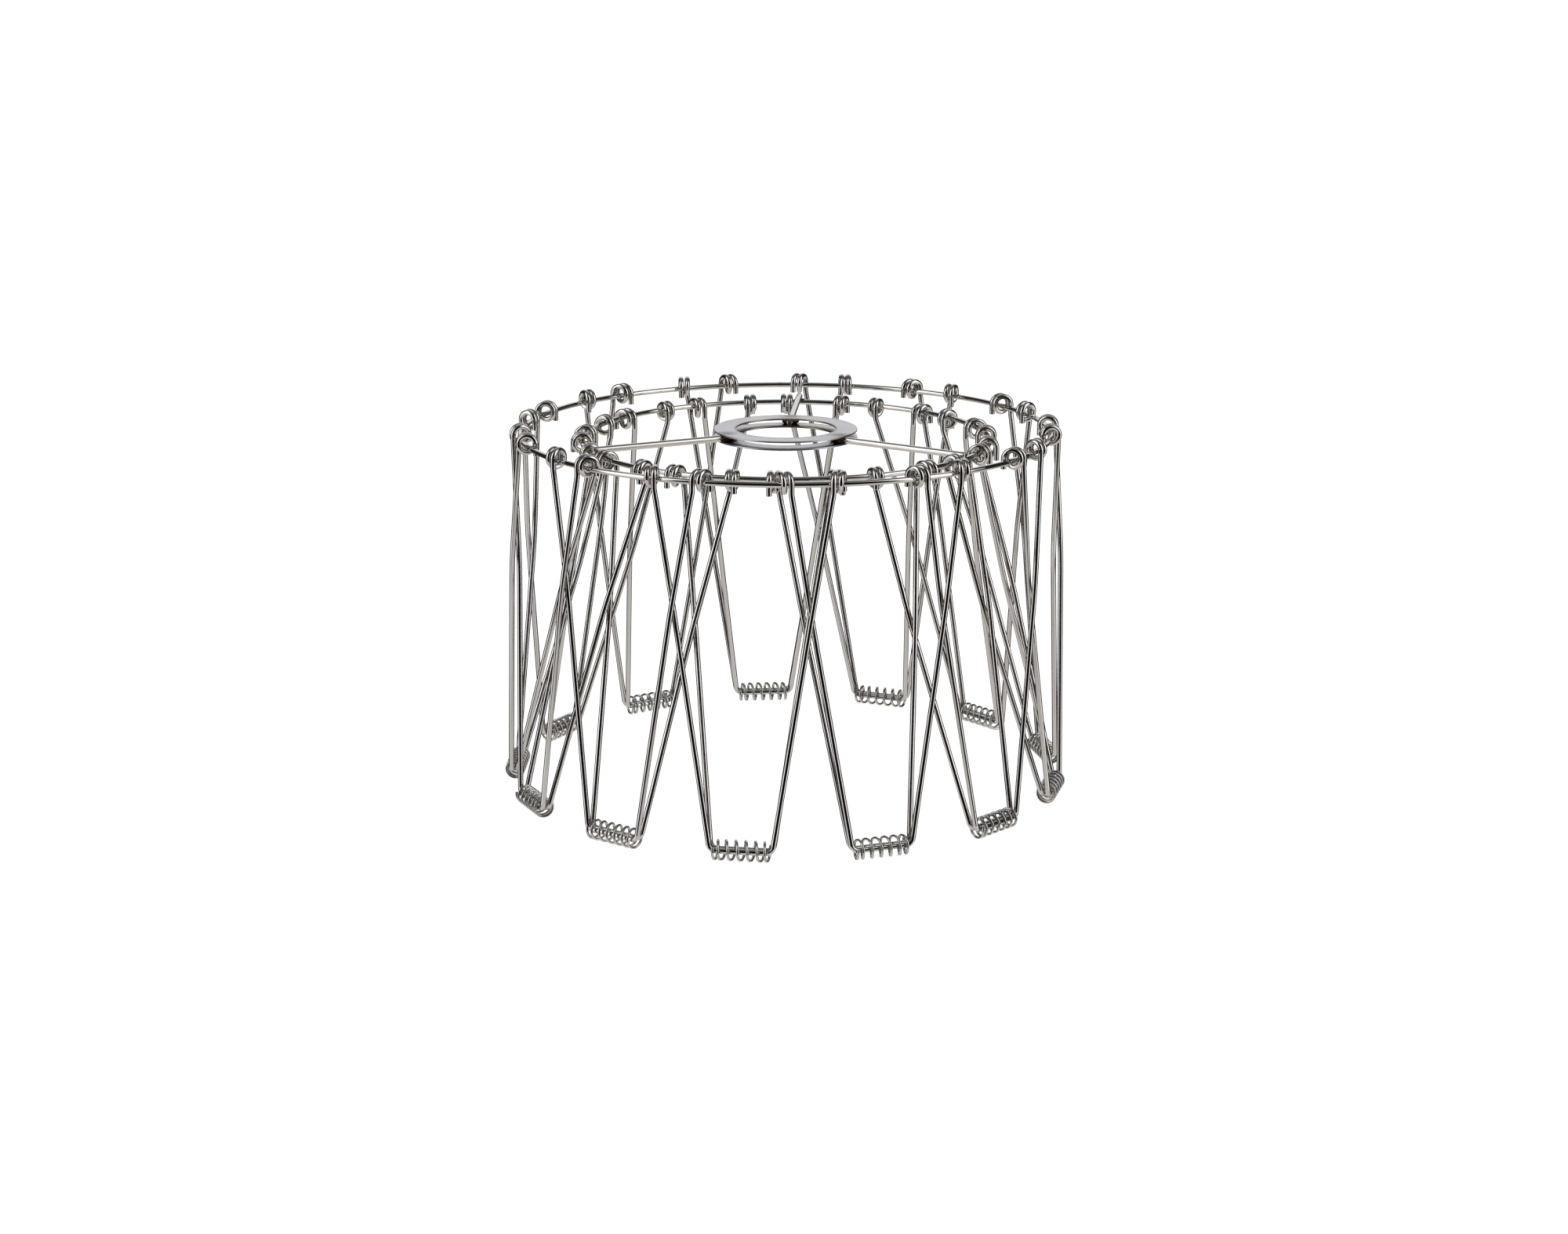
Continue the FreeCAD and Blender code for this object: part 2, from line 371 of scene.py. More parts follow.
@dataclass(frozen=True)
class SatinPlate:
    """Stamped steel sheet under satin nickel: bluish grey, warmer at the hole, brown by the brazing
    (stain and painted shade).

    Attributes:
        hole_radius: Radius of the lampholder's hole.
        hot_places: The middles of the brazing stain and of the painted shade between the plates.
        grain_mm: Size of the satin's grain.
        cloud_mm: Size of a cloud in its polish.
        warm_mm: How far from the hole the sheet is warmer.
        heat_mm: How far from the brazing the sheet is painted brown, for stain and shade.
        relief: How strongly the grain shows, and its depth in millimetres.
    """

    name: str
    hole_radius: float
    hot_places: tuple[tuple[float, float, float], ...]
    flat: str = "#c3c3c7"
    warm: str = "#9a8e80"
    # Dark brown round the brazing: partly the brazing's stain, partly painted shade between the plates.
    scorch: str = "#2b2017"
    roughness: float = 0.3
    grain_mm: float = 0.35
    cloud_mm: float = 14.0
    warm_mm: float = 1.2
    heat_mm: float = 7.0
    relief: tuple[float, float] = (0.1, 0.02)

    def heat(self, surface: Surface) -> Socket:
        """How far the sheet is painted brown at each point, from 0 to 1: brazing stain and painted
        shade.
        """
        total = None
        for hot in self.hot_places:
            apart = {"operation": "DISTANCE"}
            links = {0: surface.place}
            away = add_node(surface.material, "ShaderNodeVectorMath", apart, {1: hot}, links)
            near = surface.near(away.outputs["Value"], 0.0, self.heat_mm * MM, 1.0)
            if total is not None:
                larger = {"operation": "MAXIMUM"}
                links = {0: total, 1: near}
                near = add_node(surface.material, "ShaderNodeMath", larger, None, links).outputs[0]
            total = near
        return total

    def build(self) -> Material:
        """Make the material, ready to assign."""
        surface = Surface(self.name)
        material = surface.material
        level, length = {"operation": "MULTIPLY"}, {"operation": "LENGTH"}
        links = {0: surface.place}
        flat = add_node(material, "ShaderNodeVectorMath", level, {1: (1.0, 1.0, 0.0)}, links)
        radius = add_node(material, "ShaderNodeVectorMath", length, None, {0: flat.outputs[0]})
        clouds = surface.noise(surface.place, self.cloud_mm, 4.0)
        inward = surface.near(radius.outputs["Value"], self.hole_radius, self.warm_mm * MM, 0.9)
        warmth = surface.raised(inward, 0.3, clouds)
        tone = surface.mixed({6: linear(self.flat), 7: linear(self.warm)}, {0: warmth})
        # Brown by the brazing: stain, and painted shade between the plates.
        stained_and_shaded = surface.mixed({7: linear(self.scorch)}, {0: self.heat(surface), 6: tone})
        polish = surface.spread(clouds, self.roughness * 0.8, self.roughness * 1.25)
        grain = surface.noise(surface.place, self.grain_mm, 2.0)
        return surface.finish(stained_and_shaded, polish, grain, self.relief)


@dataclass(frozen=True)
class BrazeMetal:
    """Brazing filler and burnt flux: dark brown, glassy in places and rough in others.

    Attributes:
        lump_mm: Size of a lump.
        relief: How strongly the lumps show, and their depth in millimetres.
    """

    name: str
    dark: str = "#1d1610"
    light: str = "#6a523a"
    roughness: float = 0.42
    lump_mm: float = 1.6
    relief: tuple[float, float] = (0.4, 0.1)

    def build(self) -> Material:
        """Make the material, ready to assign."""
        surface = Surface(self.name)
        lumps = surface.noise(surface.place, self.lump_mm, 4.0)
        colour = surface.ramp(lumps, [(0.35, linear(self.dark)), (0.7, linear(self.light))])
        rough = surface.spread(lumps, self.roughness * 1.3, self.roughness * 0.6)
        return surface.finish(colour, rough, lumps, self.relief)


# ---- bending wire


def unit(vector: Vector) -> Vector:
    """The same direction, one metre long."""
    return vector.normalized()


def eased(share: float) -> float:
    """Ease a share in and out, so that it starts and ends level."""
    return share * share * (3 - 2 * share)


def round_edges(mesh: Mesh, edges: Sequence[bmesh.types.BMEdge], offset: float) -> None:
    """Round some edges off.

    Args:
        mesh: The mesh.
        edges: Its edges.
        offset: How far from the edge the rounding begins.
    """
    bmesh.ops.bevel(
        mesh,
        geom=edges,
        offset=offset,
        affect="EDGES",
        segments=3,
        profile=0.5,
        material=-1,
    )


def lump() -> Mesh:
    """A ball one metre across, to be shaped and scaled into a lump of metal."""
    mesh = bmesh.new()
    bmesh.ops.create_icosphere(mesh, subdivisions=4, radius=0.5)
    return mesh


def any_phases(seed: int, count: int) -> list[float]:
    """As many chance angles as are asked for, always the same for one seed."""
    chance = random.Random(seed)
    return [chance.uniform(0, math.tau) for _ in range(count)]


@dataclass(frozen=True)
class Hot:
    """A place where a wire was heated.

    Attributes:
        place: Its middle.
        reach: How far the heat spread.
    """

    place: Vector
    reach: float


def heat_metal(mesh: Mesh, hot_places: Sequence[Hot]) -> None:
    """Note on every point of a mesh how far it was heated, from 0 to 1.

    Args:
        mesh: The mesh.
        hot_places: The middles of the heat.
    """
    layer = mesh.verts.layers.float.new("heat")
    for vert in mesh.verts:
        nearness = [1 - (vert.co - hot.place).length / hot.reach for hot in hot_places]
        vert[layer] = eased(max([0.0, *nearness]))


@dataclass
class Wire:
    """A round wire laid down from its cut end, length by length and bend by bend.

    Attributes:
        start: The middle of the cut end.
        direction: Which way the wire leaves it.
        diameter: The wire's own diameter.
        sides: Faces round the wire.
        step_deg: The most that the wire turns from one ring of faces to the next.
    """

    start: Vector
    direction: Vector
    diameter: float
    sides: int = 18
    step_deg: float = 10.0
    mesh: Mesh = field(init=False)
    drawn: bmesh.types.BMLayerItem = field(init=False)
    last: list[bmesh.types.BMVert] = field(init=False)
    middle: Vector = field(init=False)
    length: float = field(init=False, default=0.0)

    def __post_init__(self) -> None:
        """Lay down the round section of the cut end."""
        self.mesh = bmesh.new()
        self.drawn = self.mesh.verts.layers.float_vector.new("drawn")
        facing = UP.rotation_difference(self.direction).to_matrix().to_4x4()
        made = bmesh.ops.create_circle(
            self.mesh,
            segments=self.sides,
            radius=self.diameter / 2,
            matrix=Matrix.Translation(self.start) @ facing,
        )
        self.middle = self.start.copy()
        self.keep_ring(made["verts"])

    def keep_ring(self, ring: list[bmesh.types.BMVert]) -> None:
        """Make a ring of points the present end, and note where each lies along and round the wire.

        Args:
            ring: The points, in order.
        """
        radius = self.diameter / 2
        for index, vert in enumerate(ring):
            turn = math.tau * index / len(ring)
            vert[self.drawn] = (radius * math.cos(turn), radius * math.sin(turn), self.length / DRAW)
        self.last = ring

    def extend(self) -> list[bmesh.types.BMVert]:
        """Extrude the present end where it stands.

        Returns:
            The new ring's points, in the old ring's order.
        """
        following = self.last[1:] + self.last[:1]
        edges = [self.mesh.edges.get(pair) for pair in zip(self.last, following)]
        made = set(bmesh.ops.extrude_edge_only(self.mesh, edges=edges)["geom"])
        ring = []
        for vert in self.last:
            others = [edge.other_vert(vert) for edge in vert.link_edges]
            ring.append(next(other for other in others if other in made))
        return ring

    def straight(self, travel: Vector) -> None:
        """Run straight on.

        Args:
            travel: From the wire's present end to its next.
        """
        ring = self.extend()
        bmesh.ops.translate(self.mesh, verts=ring, vec=travel)
        self.middle += travel
        self.length += travel.length
        self.keep_ring(ring)

    def turn(self, centre: Vector, axis: Vector, angle: float) -> None:
        """Bend round a point.

        Args:
            centre: The middle of the bend.
            axis: What it turns about, by the right-hand rule.
            angle: How far it turns, in radians.
        """
        steps = max(2, math.ceil(math.degrees(angle) / self.step_deg))
        share = Matrix.Rotation(angle / steps, 3, axis)
        stride = (self.middle - centre).length * angle / steps
        for _ in range(steps):
            ring = self.extend()
            bmesh.ops.rotate(self.mesh, verts=ring, cent=centre, matrix=share)
            self.length += stride
            self.keep_ring(ring)
        self.middle = centre + Matrix.Rotation(angle, 3, axis) @ (self.middle - centre)

    def half_turn(self, end: Vector, over: int) -> None:
        """Half a turn of an upright coil.

        Args:
            end: Where it comes level again.
            over: 1 to pass over the top, -1 to pass underneath.
        """
        centre = (self.middle + end) / 2
        self.turn(centre, unit((self.middle - centre).cross(UP * over)), math.pi)

    def path(self, points: Sequence[Vector], radii: Sequence[float]) -> None:
        """Run straight between points, rounding each corner in between.

        Args:
            points: The present end, the corners and the last point.
            radii: The bend at each corner.
        """
        for before, corner, after, radius in zip(points, points[1:], points[2:], radii):
            ahead = unit(corner - before)
            angle = ahead.angle(after - corner)
            self.straight(corner - ahead * radius * math.tan(angle / 2) - self.middle)
            axis = unit(ahead.cross(after - corner))
            self.turn(self.middle + axis.cross(ahead) * radius, axis, angle)
        self.straight(points[-1] - self.middle)

    def finish(self, burr: float) -> Mesh:
        """Close both cut ends and break their edges.

        Args:
            burr: How much of the sharp edge is rounded off.

        Returns:
            The finished mesh.
        """
        caps = bmesh.ops.holes_fill(self.mesh, edges=self.mesh.edges[:], sides=self.sides)["faces"]
        rims = list({edge for cap in caps for edge in cap.edges})
        round_edges(self.mesh, rims, burr)
        bmesh.ops.recalc_face_normals(self.mesh, faces=self.mesh.faces[:])
        return self.mesh


# ---- placing pieces


@dataclass(frozen=True)
class Dress:
    """What a piece wears and what it belongs to.

    Attributes:
        material: Its finish.
        slot: The record's material slot; not used.
    """

    material: Material
    slot: str


def make_piece(
    name: str,
    mesh: Mesh,
    body: str,
    dress: Dress,
    turn: float = 0.0,
    stands_for: Sequence[str] = (),
) -> bpy.types.Object:
    """Put a finished mesh in the scene, on the body that it moves with.

    Args:
        name: The piece's name.
        mesh: Its mesh, which is used up.
        body: The body that it rides on.
        dress: Its finish.
        turn: How far it is turned about the shade's axis first, in radians.
        stands_for: The frame's own nodes that it replaces.

    Returns:
        The piece, its object at the origin.
    """
    to_place = Matrix.Rotation(turn, 3, "Z")
    bmesh.ops.rotate(mesh, verts=mesh.verts[:], cent=Vector(), matrix=to_place)
    data = bpy.data.meshes.new(name)
    mesh.to_mesh(data)
    mesh.free()
    data.shade_smooth()
    data.set_sharp_from_angle(angle=math.radians(CRISP_DEG))
    piece = bpy.data.objects.new(name, data)
    bpy.context.scene.collection.objects.link(piece)
    piece.data.materials.append(dress.material)
    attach(piece, body)
    if stands_for:
        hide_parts(*stands_for)
    log.info("%s rides on %s, %d faces", name, body, len(data.polygons))
    return piece


# ---- the frame


@dataclass(frozen=True)
class Layout:
    """Where everything stands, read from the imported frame.

    Attributes:
        stations: Loops of each kind.
        spokes: Rods of the welded frame.
        wire: Diameter of the rings' and the loops' wire.
        ring_radius: Middle of the wire of each kind's ring.
        ring_height: Height of each kind's ring.
        chord: Distance of each kind's hinge from the shade's axis.
        spring_circle: Distance of a spring from the shade's axis.
        spring_height: Height of a spring's middle.
        hole_radius: Radius of the lampholder's hole.
    """

    stations: int
    spokes: int
    wire: float
    ring_radius: dict[Kind, float]
    ring_height: dict[Kind, float]
    chord: dict[Kind, float]
    spring_circle: float
    spring_height: float
    hole_radius: float

    @classmethod
    def read(cls, frame: dict) -> "Layout":
        """Measure the frame.


        Returns:
            The layout.
        """
        joints = {joint["name"]: joint for joint in frame["joints"]}
        holder = next(mount for mount in frame["record"]["mounts"] if mount["name"] == "lampholder")
        radius, height, chord = {}, {}, {}
        wire = 0.0
        for kind in Kind:
            low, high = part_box(f"{kind.value}_ring")
            wire = high.z - low.z
            radius[kind] = (high.x - low.x - wire) / 2
            height[kind] = (high.z + low.z) / 2
            chord[kind] = -joints[f"{kind.value}_swing_01"]["pos_m"][1]
        low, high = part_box("coil_spring_01")
        return cls(
            stations=sum(name.startswith("coil_spring_") for name in frame["nodes"]),
            spokes=sum(name.startswith("spoke_") for name in frame["nodes"]),
            wire=wire,
            ring_radius=radius,
            ring_height=height,
            chord=chord,
            spring_circle=-(low.y + high.y) / 2,
            spring_height=low.z - (low.y - high.y) / 2,
            hole_radius=holder["dims"]["r_mm"] * MM,
        )

    def turn(self, station: int) -> float:
        """How far round from the first a station stands, in radians."""
        return math.tau * station / self.stations

    def on_ring(self, kind: Kind, degrees: float) -> Vector:
        """A point on the middle of a ring's wire, so many degrees on from the first station."""
        turn = math.radians(degrees)
        radius = self.ring_radius[kind]
        return Vector((radius * math.sin(turn), -radius * math.cos(turn), self.ring_height[kind]))


@dataclass
class Fitter:
    """The two flat rings of sheet that hold the lampholder, and the brazing between them.

    Attributes:
        layout: Where everything stands.
        plate_dress: The sheet's finish.
        braze_dress: The filler's finish.
        segments: Faces round a plate.
        edge_mm: Rounding of a stamped edge.
        braze_at_mm: Middle of the brazing, out from the axis.
        braze_size_mm: Filler along the spoke, across it and upwards.
        flow: How far the filler has flowed in and out round its rim, as a share.
    """

    layout: Layout
    plate_dress: Dress
    braze_dress: Dress
    segments: int = 144
    edge_mm: float = 0.16
    braze_at_mm: float = 27.2
    braze_size_mm: tuple[float, float, float] = (5.6, 7.4, 2.55)
    flow: float = 0.05

    def plate(self, name: str) -> None:
        """Stamp one plate.

        Args:
            name: The frame's node that it replaces, which gives its box.
        """
        low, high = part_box(name)
        mesh = bmesh.new()
        foot = Matrix.Translation((0, 0, low.z))
        for radius in (high.x, self.layout.hole_radius):
            bmesh.ops.create_circle(mesh, segments=self.segments, radius=radius, matrix=foot)
        bmesh.ops.bridge_loops(mesh, edges=mesh.edges[:])
        top = bmesh.ops.extrude_face_region(mesh, geom=mesh.faces[:])["geom"]
        lifted = [part for part in top if isinstance(part, bmesh.types.BMVert)]
        bmesh.ops.translate(mesh, verts=lifted, vec=(0, 0, high.z - low.z))
        rims = [edge for edge in mesh.edges if edge.calc_face_angle(0) > math.radians(CRISP_DEG)]
        round_edges(mesh, rims, self.edge_mm * MM)
        bmesh.ops.recalc_face_normals(mesh, faces=mesh.faces[:])
        stamped = name.replace("fitter", "stamped")
        make_piece(stamped, mesh, "welded_frame", self.plate_dress, stands_for=[name])

    def braze(self, index: int, turn: float) -> None:
        """Run the filler round one spoke, between the plates.

        Args:
            index: The spoke's number.
            turn: Its direction from the first station, in radians.
        """
        mesh = lump()
        along, across, up = (size * MM for size in self.braze_size_mm)
        phases = any_phases(index, 3)
        # Radians a metre of the ball.
        waves = (Vector((9, 0)), Vector((0, 11)), Vector((17, -13)))
        # The plates cut the ball off flat at this height, above and below.
        flat = 0.42
        for vert in mesh.verts:
            swells = [math.sin(wave.dot(vert.co.xy) + phase) for wave, phase in zip(waves, phases)]
            vert.co.xy *= 1 + self.flow * sum(swells)
            vert.co.z = max(-flat, min(flat, vert.co.z * 1.25)) / (2 * flat)
        bmesh.ops.scale(mesh, verts=mesh.verts[:], vec=(across, along, up))
        bmesh.ops.translate(mesh, verts=mesh.verts[:], vec=(0, -self.braze_at_mm * MM, 0))
        bmesh.ops.recalc_face_normals(mesh, faces=mesh.faces[:])
        make_piece(f"braze_{index}", mesh, "welded_frame", self.braze_dress, turn)

    def build(self, spoke_turns: Sequence[float]) -> None:
        """Make both plates and the brazing.

        Args:
            spoke_turns: The spokes' directions, in radians.
        """
        self.plate("fitter_plate_top")
        self.plate("fitter_plate_bottom")
        for index, turn in enumerate(spoke_turns, start=1):
            self.braze(index, turn)


@dataclass
class Spokes:
    """The rods from the fitter out over the inner ring, and the welds under their ends.

    Attributes:
        layout: Where everything stands.
        rod_dress: The rods' finish.
        weld_dress: The welds' finish.
        start_mm: Where a rod begins, out from the axis.
        overhang_mm: Rod beyond the middle of the ring.
        end_round_mm: Rounding of a rod's ends.
        shares: Where along a rod the mesh is cut, which is closest where heat has tinted it.
        brazed_mm: Middle of the brazed length, on from the rod's start.
        braze_heat_mm: Reach of the tint there.
        weld_heat_mm: Reach of the tint at the ring.
        weld_size_mm: A weld along the ring, along the rod and upwards.
        weld_flow: How uneven a weld is, as a share.
    """

    layout: Layout
    rod_dress: Dress
    weld_dress: Dress
    start_mm: float = 22.5
    overhang_mm: float = 2.5
    end_round_mm: float = 0.7
    shares: tuple[float, ...] = (0.06, 0.12, 0.2, 0.5, 0.8, 0.88, 0.92, 0.96, 1.0)
    brazed_mm: float = 2.0
    braze_heat_mm: float = 10.0
    weld_heat_mm: float = 5.0
    weld_size_mm: tuple[float, float, float] = (4.4, 3.2, 1.5)
    weld_flow: float = 0.05

    def turns(self) -> list[float]:
        """The direction of each rod from the first station, in radians."""
        found = []
        for index in range(1, self.layout.spokes + 1):
            low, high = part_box(f"spoke_{index}")
            middle = (low + high) / 2
            found.append(math.atan2(middle.x, -middle.y))
        return found

    def rod(self, index: int, turn: float) -> None:
        """Cut one rod.

        Args:
            index: Its number.
            turn: Its direction, in radians.
        """
        node = f"spoke_{index}"
        low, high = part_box(node)
        ring = self.layout.ring_radius[Kind.INNER]
        start = self.start_mm * MM
        end = ring + self.overhang_mm * MM
        wire = Wire(Vector((0, -start, 0)), Vector((0, -1, 0)), high.z - low.z, sides=28)
        for share in self.shares:
            here = start + (end - start) * share
            wire.straight(Vector((0, -here, 0)) - wire.middle)
        mesh = wire.finish(self.end_round_mm * MM)
        brazed = Vector((0, -(self.start_mm + self.brazed_mm) * MM, 0))
        welded = Vector((0, -ring, low.z))
        heat_metal(mesh, [Hot(brazed, self.braze_heat_mm * MM), Hot(welded, self.weld_heat_mm * MM)])
        make_piece(f"spoke_rod_{index}", mesh, "welded_frame", self.rod_dress, turn, [node])

    def weld(self, index: int, turn: float) -> None:
        """Lay the weld between one rod and the ring below it.

        Args:
            index: The rod's number.
            turn: Its direction, in radians.
        """
        mesh = lump()
        along, across = any_phases(100 + index, 2)
        for vert in mesh.verts:
            swells = math.sin(10 * vert.co.x + along) + math.sin(12 * vert.co.y + across)
            vert.co *= 1 + self.weld_flow * swells
        bmesh.ops.scale(mesh, verts=mesh.verts[:], vec=[size * MM for size in self.weld_size_mm])
        contact = self.layout.ring_height[Kind.INNER] + self.layout.wire / 2
        place = (0, -self.layout.ring_radius[Kind.INNER], contact)
        bmesh.ops.translate(mesh, verts=mesh.verts[:], vec=place)
        bmesh.ops.recalc_face_normals(mesh, faces=mesh.faces[:])
        make_piece(f"ring_weld_{index}", mesh, "welded_frame", self.weld_dress, turn)

    def build(self) -> None:
        """Make every rod and its weld."""
        for index, turn in enumerate(self.turns(), start=1):
            self.rod(index, turn)
            self.weld(index, turn)


@dataclass
class Ring:
    """A ring of wire, butt-welded into a circle.

    Attributes:
        layout: Where everything stands.
        kind: Which loops hang on it.
        dress: Its finish.
        body: The body that it belongs to.
        hot_deg: Where heat has coloured it, in degrees on from the first station.
        weld_deg: Where its ends meet.
        sides: Faces round the wire.
        steps: Faces round the ring.
        heat_mm: Reach of the colour.
        swell: How much thicker the wire is at its weld, as a share.
        swell_mm: Half the length of the swelling.
    """

    layout: Layout
    kind: Kind
    dress: Dress
    body: str
    hot_deg: tuple[float, ...]
    weld_deg: float
    sides: int = 20
    steps: int = 360
    heat_mm: float = 5.5
    swell: float = 0.07
    swell_mm: float = 1.4

    def build(self) -> None:
        """Bend and weld the ring."""
        mesh = bmesh.new()
        radius = self.layout.ring_radius[self.kind]
        height = self.layout.ring_height[self.kind]
        upright = Matrix.Rotation(math.pi / 2, 4, "X")
        at_rim = Matrix.Translation((radius, 0, height))
        bmesh.ops.create_circle(
            mesh, segments=self.sides, radius=self.layout.wire / 2, matrix=at_rim @ upright
        )
        bmesh.ops.spin(
            mesh,
            geom=mesh.verts[:] + mesh.edges[:],
            cent=(0, 0, 0),
            axis=(0, 0, 1),
            angle=math.tau,
            steps=self.steps,
            use_merge=True,
        )
        bmesh.ops.recalc_face_normals(mesh, faces=mesh.faces[:])
        weld = self.layout.on_ring(self.kind, self.weld_deg)
        drawn = mesh.verts.layers.float_vector.new("drawn")
        for vert in mesh.verts:
            round_axis = math.atan2(vert.co.y, vert.co.x)
            core = Vector((radius * math.cos(round_axis), radius * math.sin(round_axis), height))
            off_core = vert.co - core
            outward = Vector((vert.co.x, vert.co.y, 0)).length - radius
            vert[drawn] = (outward, off_core.z, radius * round_axis / DRAW)
            near = max(0.0, 1 - (core - weld).length / (self.swell_mm * MM))
            vert.co = core + off_core * (1 + self.swell * eased(near))
        heat_metal(mesh, self.hot_spots())
        node = f"{self.kind.value}_ring"
        make_piece(f"{self.kind.value}_wire_ring", mesh, self.body, self.dress, stands_for=[node])

    def hot_spots(self) -> list[Hot]:
        """Every place on the ring that heat has coloured."""
        turns = (*self.hot_deg, self.weld_deg)
        return [Hot(self.layout.on_ring(self.kind, turn), self.heat_mm * MM) for turn in turns]


@dataclass
class LoopBender:
    """Bends the wire loops of one kind: hook, leg, bottom bar, leg and hook.

    A loop is bent for the first station, with X along its bottom bar and -Y outwards.

    Attributes:
        layout: Where everything stands.
        kind: The ring that the loops hang on.
        dress: Their finish.
        hook_turn_deg: Turn of a hook towards the line of its ring.
        leg_side: -1 where the legs leave inwards from the ring, 1 where outwards.
        hook_radius_mm: Mean radius of a hook's coil.
        hook_pitch_mm: Advance of a hook in one turn.
        hook_tail_mm: Longest cut end below the middle of its hook.
        tail_spread_mm: How much shorter some cut ends are.
        hook_play_mm: Gap between the ring and the side of the hook that bears on it.
        leg_straight_mm: Straight leg below its hook.
        kink_radius_mm: Bend where a leg leaves its hook.
        crossing_gap_mm: Gap where neighbouring legs cross.
        crossing_radius_mm: Bend of a leg at the crossing.
        bar_half_mm: Middle of the bottom bar to the line of its leg.
        corner_radius_mm: Bend from leg to bottom bar.
        bar_gap_mm: Gap between the two bottom bars of a station.
        burr_mm: Rounding of a cut end.
        heat_mm: Reach of the tint at the foot of a leg.
    """

    layout: Layout
    kind: Kind
    dress: Dress
    hook_turn_deg: float
    leg_side: int
    hook_radius_mm: float = 3.45
    hook_pitch_mm: float = 2.9
    hook_tail_mm: float = 5.2
    tail_spread_mm: float = 1.5
    hook_play_mm: float = 0.3
    leg_straight_mm: float = 4.0
    kink_radius_mm: float = 6.0
    crossing_gap_mm: float = 0.85
    crossing_radius_mm: float = 300.0
    bar_half_mm: float = 12.5
    corner_radius_mm: float = 3.0
    bar_gap_mm: float = 0.3
    burr_mm: float = 0.2
    heat_mm: float = 4.0

    def hook_height(self) -> float:
        """Height of the middle of a hook, which hangs on its ring or holds it up."""
        slack = self.hook_radius_mm * MM - self.layout.wire - self.hook_play_mm * MM
        return self.layout.ring_height[self.kind] + self.leg_side * slack

    def hook_point(self, side: Side, along: float, outward: float, up: float) -> Vector:
        """A point of a hook.

        Args:
            side: Which hook.
            along: Along its own axis, away from the loop.
            outward: Towards its leg.
            up: Upwards.

        Returns:
            The point.
        """
        turn = math.radians(self.hook_turn_deg)
        chord = self.layout.chord[self.kind]
        half_chord = math.sqrt(self.layout.ring_radius[self.kind] ** 2 - chord**2)
        x = along * math.cos(turn) + self.leg_side * outward * math.sin(turn)
        r = self.leg_side * outward * math.cos(turn) - along * math.sin(turn)
        return Vector((side.value * (half_chord + x), -(chord + r), self.hook_height() + up))

    def hook_points(self, side: Side, tail: float) -> list[Vector]:
        """Where a hook's wire is level with its middle, from the cut end to the leg.

        Args:
            side: Which hook.
            tail: Length of the cut end.

        Returns:
            The cut end, the top of the tail, and the end of each half turn.
        """
        radius = self.hook_radius_mm * MM
        step = self.hook_pitch_mm * MM / 4
        return [
            self.hook_point(side, 3 * step, -radius, -tail),
            self.hook_point(side, 3 * step, -radius, 0),
            self.hook_point(side, step, radius, 0),
            self.hook_point(side, -step, -radius, 0),
            self.hook_point(side, -3 * step, radius, 0),
        ]

    def leg_points(self, side: Side) -> list[Vector]:
        """The corners of a leg's line, from its hook down to the bottom bar.

        Args:
            side: Which leg.

        Returns:
            The top, the kink, the crossing and the corner.
        """
        bar_offset = self.leg_side * (self.layout.wire + self.bar_gap_mm * MM) / 2
        top = self.hook_points(side, 0)[-1]
        kink = top - UP * self.leg_straight_mm * MM
        corner = Vector(
            (
                side.value * self.bar_half_mm * MM,
                -(self.layout.spring_circle + bar_offset),
                self.layout.spring_height,
            )
        )
        return [top, kink, self.crossing(side, kink, corner), corner]

    def crossing(self, side: Side, top: Vector, corner: Vector) -> Vector:
        """Where a leg crosses its neighbour's: outside it on one side of a loop, inside on the other.

        Args:
            side: Which leg.
            top: Where its slope begins.
            corner: Where it ends.

        Returns:
            The point that the leg is bent through.
        """
        half_station = math.pi / self.layout.stations
        over_top = abs(top.x) + top.y * math.tan(half_station)
        over_corner = abs(corner.x) + corner.y * math.tan(half_station)
        point = top.lerp(corner, over_top / (over_top - over_corner))
        lean = math.atan2(abs(corner.y - top.y), abs(corner.z - top.z))
        level_gap = (self.layout.wire + self.crossing_gap_mm * MM) / math.cos(half_station)
        apart = level_gap / math.cos(lean)
        return point - Vector((0, side.value * apart / 2, 0))

    def bend(self, station: int) -> None:
        """Bend one loop.

        Args:
            station: Its place, counted from 0.
        """
        chance = random.Random(f"{self.kind.value} {station}")
        tails = [(self.hook_tail_mm - chance.uniform(0, self.tail_spread_mm)) * MM for _ in Side]
        left = self.hook_points(Side.LEFT, tails[0])
        right = self.hook_points(Side.RIGHT, tails[1])
        wire = Wire(left[0], UP, self.layout.wire)
        wire.straight(left[1] - left[0])
        for end, over in zip(left[2:], (1, -1, 1)):
            wire.half_turn(end, over)
        bends = [self.kink_radius_mm * MM, self.crossing_radius_mm * MM, self.corner_radius_mm * MM]
        legs = self.leg_points(Side.LEFT) + self.leg_points(Side.RIGHT)[::-1]
        wire.path(legs, bends + bends[::-1])
        for end, over in zip(right[-2:0:-1], (1, -1, 1)):
            wire.half_turn(end, over)
        wire.straight(right[0] - right[1])
        mesh = wire.finish(self.burr_mm * MM)
        heat_metal(mesh, [Hot(corner, self.heat_mm * MM) for corner in legs[3:5]])
        number = f"{station + 1:02d}"
        name = f"{self.kind.value}_bent_loop_{number}"
        node = f"{self.kind.value}_loop_{number}"
        body = f"{self.kind.value}_link_{number}"
        make_piece(name, mesh, body, self.dress, self.layout.turn(station), [node])

    def build(self) -> None:
        """Bend a loop for every station."""
        for station in range(self.layout.stations):
            self.bend(station)


